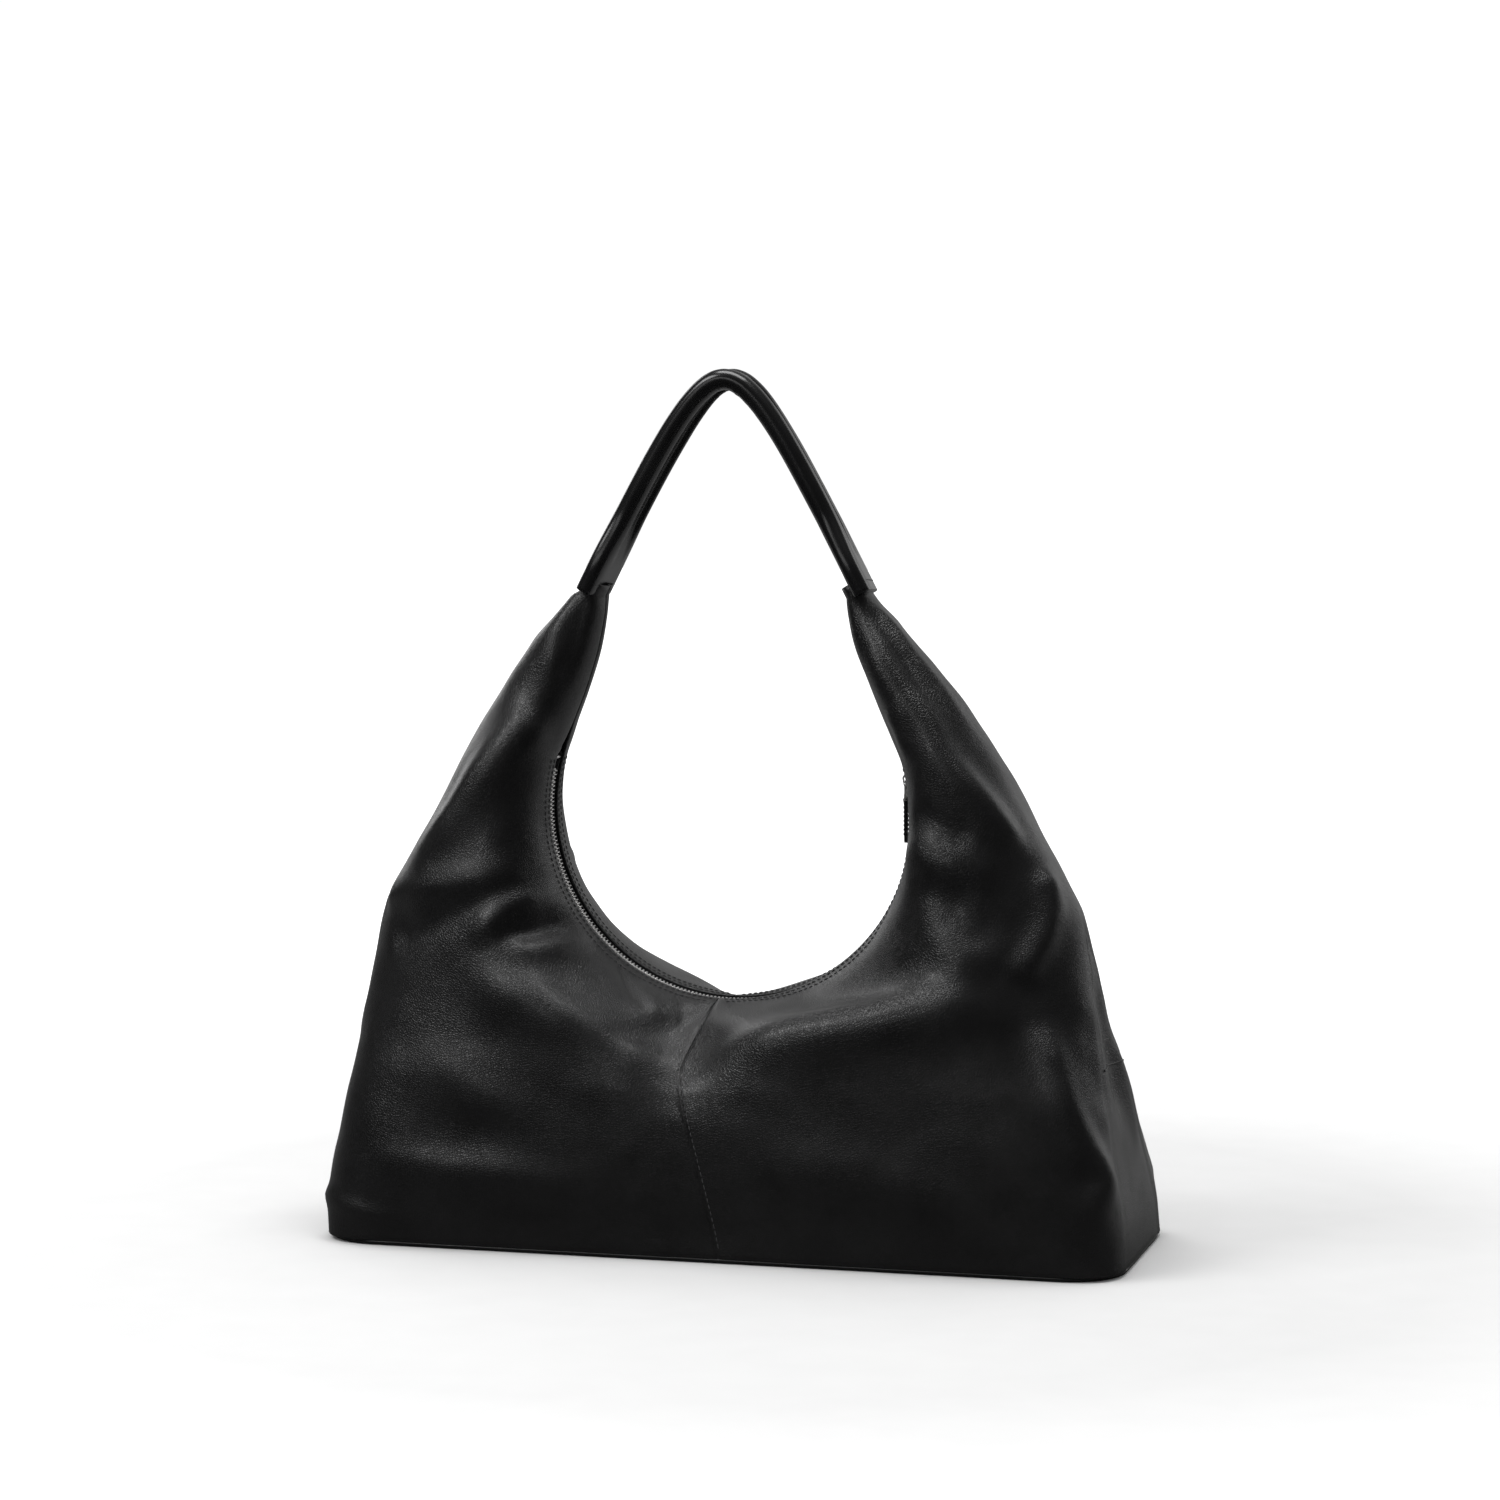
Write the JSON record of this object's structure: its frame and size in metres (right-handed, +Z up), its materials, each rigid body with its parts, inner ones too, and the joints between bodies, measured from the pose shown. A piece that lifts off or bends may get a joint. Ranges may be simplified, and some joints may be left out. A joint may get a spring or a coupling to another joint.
{
  "type": "hobo bag",
  "caption": "Slouchy leather hobo shoulder bag with a flat boxed base, two horns, a curved zip mouth and a padded twin-roll strap.",
  "frame": {"origin": "middle of the base, on the surface that the bag stands on", "axes": "+X along the base towards the end where the closed zip's slider is parked, +Y from the front to the back, +Z up to the top of the strap"},
  "size_m": [0.4777, 0.1752, 0.5091],
  "materials": {
    "leather": "smooth black nappa-like leather with a fine grain and a soft semi-gloss",
    "strap_leather": "smooth black leather, slightly glossier where it is stretched over the rolls",
    "lining": "matt dark woven lining",
    "board": "stiff fibre board",
    "zip_tape": "black woven zip tape",
    "zip_metal": "polished nickel",
    "filler": "spun cotton filler cord"
  },
  "bodies": {
    "bag": {"front_panel_left": "leather", "front_panel_right": "leather", "back_panel_left": "leather", "back_panel_right": "leather", "side_gusset_left": "leather", "side_gusset_right": "leather", "base_panel": "leather", "base_piping": "leather", "base_board": "board", "lining_front": "lining", "lining_back": "lining", "lining_side_left": "lining", "lining_side_right": "lining", "lining_base": "lining", "inner_pocket": "lining", "zip_tape_front": "zip_tape", "zip_tape_back": "zip_tape", "zip_teeth_front": "zip_metal", "zip_teeth_back": "zip_metal", "zip_top_stops": "zip_metal", "zip_bottom_stop": "zip_metal", "strap_foot_left": "strap_leather", "strap_foot_right": "strap_leather"},
    "strap": {"strap_cover": "strap_leather", "strap_backing": "strap_leather", "strap_core_front": "filler", "strap_core_back": "filler"},
    "slider": {"slider_body": "zip_metal"},
    "pull": {"puller": "zip_metal"},
    "pull_tab": {"leather_pull": "leather"}
  },
  "joints": [
    {"name": "strap_fold", "type": "hinge", "parent": "bag", "child": "strap", "pos_m": [-0.01, 0, 0.41], "axis": [1, 0, 0], "range_deg": [-80, 80]},
    {"name": "slider_travel", "type": "hinge", "parent": "bag", "child": "slider", "pos_m": [-0.00777, 0, 0.252], "axis": [0, 1, 0], "range_deg": [0, 202]},
    {"name": "pull_swing", "type": "hinge", "parent": "slider", "child": "pull", "pos_m": [0.09712, 0, 0.27239], "axis": [0, 1, 0], "range_deg": [0, 110]},
    {"name": "tab_swing", "type": "hinge", "parent": "pull", "child": "pull_tab", "pos_m": [0.09712, 0, 0.26139], "axis": [0, 1, 0], "range_deg": [-3, 45]}
  ]
}
